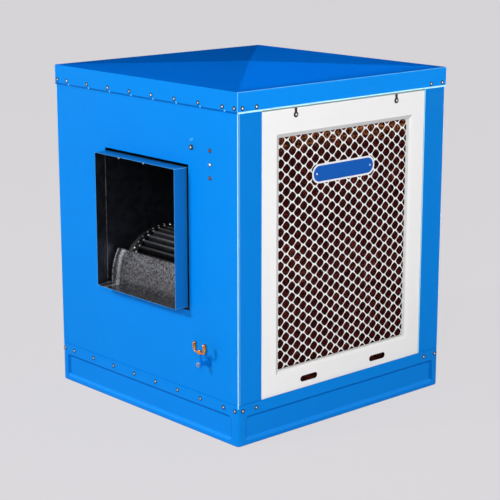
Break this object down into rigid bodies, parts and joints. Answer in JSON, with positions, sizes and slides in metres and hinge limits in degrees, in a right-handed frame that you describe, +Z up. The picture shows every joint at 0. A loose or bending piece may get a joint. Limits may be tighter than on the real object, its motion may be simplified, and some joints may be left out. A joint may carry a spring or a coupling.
{
  "type": "evaporative cooler",
  "caption": "Square sheet-steel evaporative cooler with a side air outlet, a belt-driven centrifugal blower, wetted pad cassettes that tilt out, a pan pump and a float valve.",
  "frame": {"origin": "middle of the underside of the base, on the surface that the cooler stands on", "axes": "+Z up, -Y out of the air outlet, +X towards the cassette with the name plate"},
  "size_m": [0.9, 0.944, 1.085],
  "materials": {
    "cabinet_blue": "glossy blue powder coat",
    "frame_white": "white powder coat",
    "pad_brown": "coarse brown fibre pad",
    "plate_blue": "bare blue plate with a pale border",
    "galvanised": "spangled zinc",
    "steel": "plain steel",
    "motor_grey": "grey enamel",
    "brass": "cast brass",
    "black_plastic": "black moulding",
    "rubber": "black rubber",
    "float_red": "red moulding"
  },
  "bodies": {
    "cabinet": {"base_tray": "cabinet_blue", "roof": "cabinet_blue", "outlet_panel": "cabinet_blue", "outlet_collar": "cabinet_blue", "post_front_left": "cabinet_blue", "post_front_right": "cabinet_blue", "post_rear_left": "cabinet_blue", "post_rear_right": "cabinet_blue", "pan_ledge": "galvanised", "scroll_side_left": "galvanised", "scroll_side_right": "galvanised", "scroll_wrap": "galvanised", "cutoff_plate": "galvanised", "inlet_ring_left": "galvanised", "inlet_ring_right": "galvanised", "blower_rail_left": "galvanised", "blower_rail_right": "galvanised", "water_trough_right": "galvanised", "water_trough_rear": "galvanised", "water_trough_left": "galvanised", "bearing_bracket_left": "steel", "bearing_bracket_right": "steel", "motor_stand": "steel", "bearing_left": "motor_grey", "bearing_right": "motor_grey", "motor_body": "motor_grey", "float_valve": "brass", "inlet_nut": "brass", "stopcock": "brass", "drain_bush": "brass", "water_spider": "black_plastic", "pump_body": "black_plastic", "pump_basket": "black_plastic", "junction_box": "black_plastic", "cable_gland": "black_plastic", "drive_belt": "rubber", "riser_hose": "rubber"},
    "blower": {"blower_shaft": "steel", "blower_wheel": "galvanised", "wheel_hub": "steel", "fan_pulley": "motor_grey"},
    "motor_rotor": {"motor_shaft": "steel", "motor_pulley": "motor_grey"},
    "pump_rotor": {"pump_impeller": "black_plastic"},
    "float": {"float_arm": "brass", "float_ball": "float_red"},
    "stopcock_lever": {"stopcock_handle": "brass"},
    "overflow": {"overflow_pipe": "black_plastic"},
    "cassette_right": {"pad_frame_right": "frame_white", "pad_net_right": "frame_white", "cooling_pad_right": "pad_brown", "name_plate": "plate_blue"},
    "cassette_rear": {"pad_frame_rear": "frame_white", "pad_net_rear": "frame_white", "cooling_pad_rear": "pad_brown"},
    "cassette_left": {"pad_frame_left": "frame_white", "pad_net_left": "frame_white", "cooling_pad_left": "pad_brown"}
  },
  "joints": [
    {"name": "blower_spin", "type": "hinge", "parent": "cabinet", "child": "blower", "pos_m": [0, -0.2555, 0.405], "axis": [1, 0, 0], "continuous": true},
    {"name": "motor_spin", "type": "hinge", "parent": "cabinet", "child": "motor_rotor", "pos_m": [0, 0.215, 0.2406], "axis": [1, 0, 0], "continuous": true},
    {"name": "pump_spin", "type": "hinge", "parent": "cabinet", "child": "pump_rotor", "pos_m": [0.3007, 0.2907, 0.1], "axis": [0, 0, 1], "continuous": true},
    {"name": "float_swing", "type": "hinge", "parent": "cabinet", "child": "float", "pos_m": [0.308, -0.4007, 0.236], "axis": [1, 0, 0], "range_deg": [0, 30]},
    {"name": "stopcock_turn", "type": "hinge", "parent": "cabinet", "child": "stopcock_lever", "pos_m": [0.308, -0.4786, 0.2543], "axis": [0, 0, 1], "range_deg": [0, 90]},
    {"name": "overflow_lift", "type": "slide", "parent": "cabinet", "child": "overflow", "axis": [0, 0, 1], "range_m": [0, 0.06]},
    {"name": "cassette_tilt_right", "type": "hinge", "parent": "cabinet", "child": "cassette_right", "pos_m": [0.4455, 0, 0.13], "axis": [0, 1, 0], "range_deg": [0, 35]},
    {"name": "cassette_tilt_rear", "type": "hinge", "parent": "cabinet", "child": "cassette_rear", "pos_m": [0, 0.4455, 0.13], "axis": [-1, 0, 0], "range_deg": [0, 35]},
    {"name": "cassette_tilt_left", "type": "hinge", "parent": "cabinet", "child": "cassette_left", "pos_m": [-0.4455, 0, 0.13], "axis": [0, -1, 0], "range_deg": [0, 35]}
  ],
  "couplings": [
    {"joint": "motor_spin", "follows": "blower_spin", "ratio": 3.1795}
  ]
}
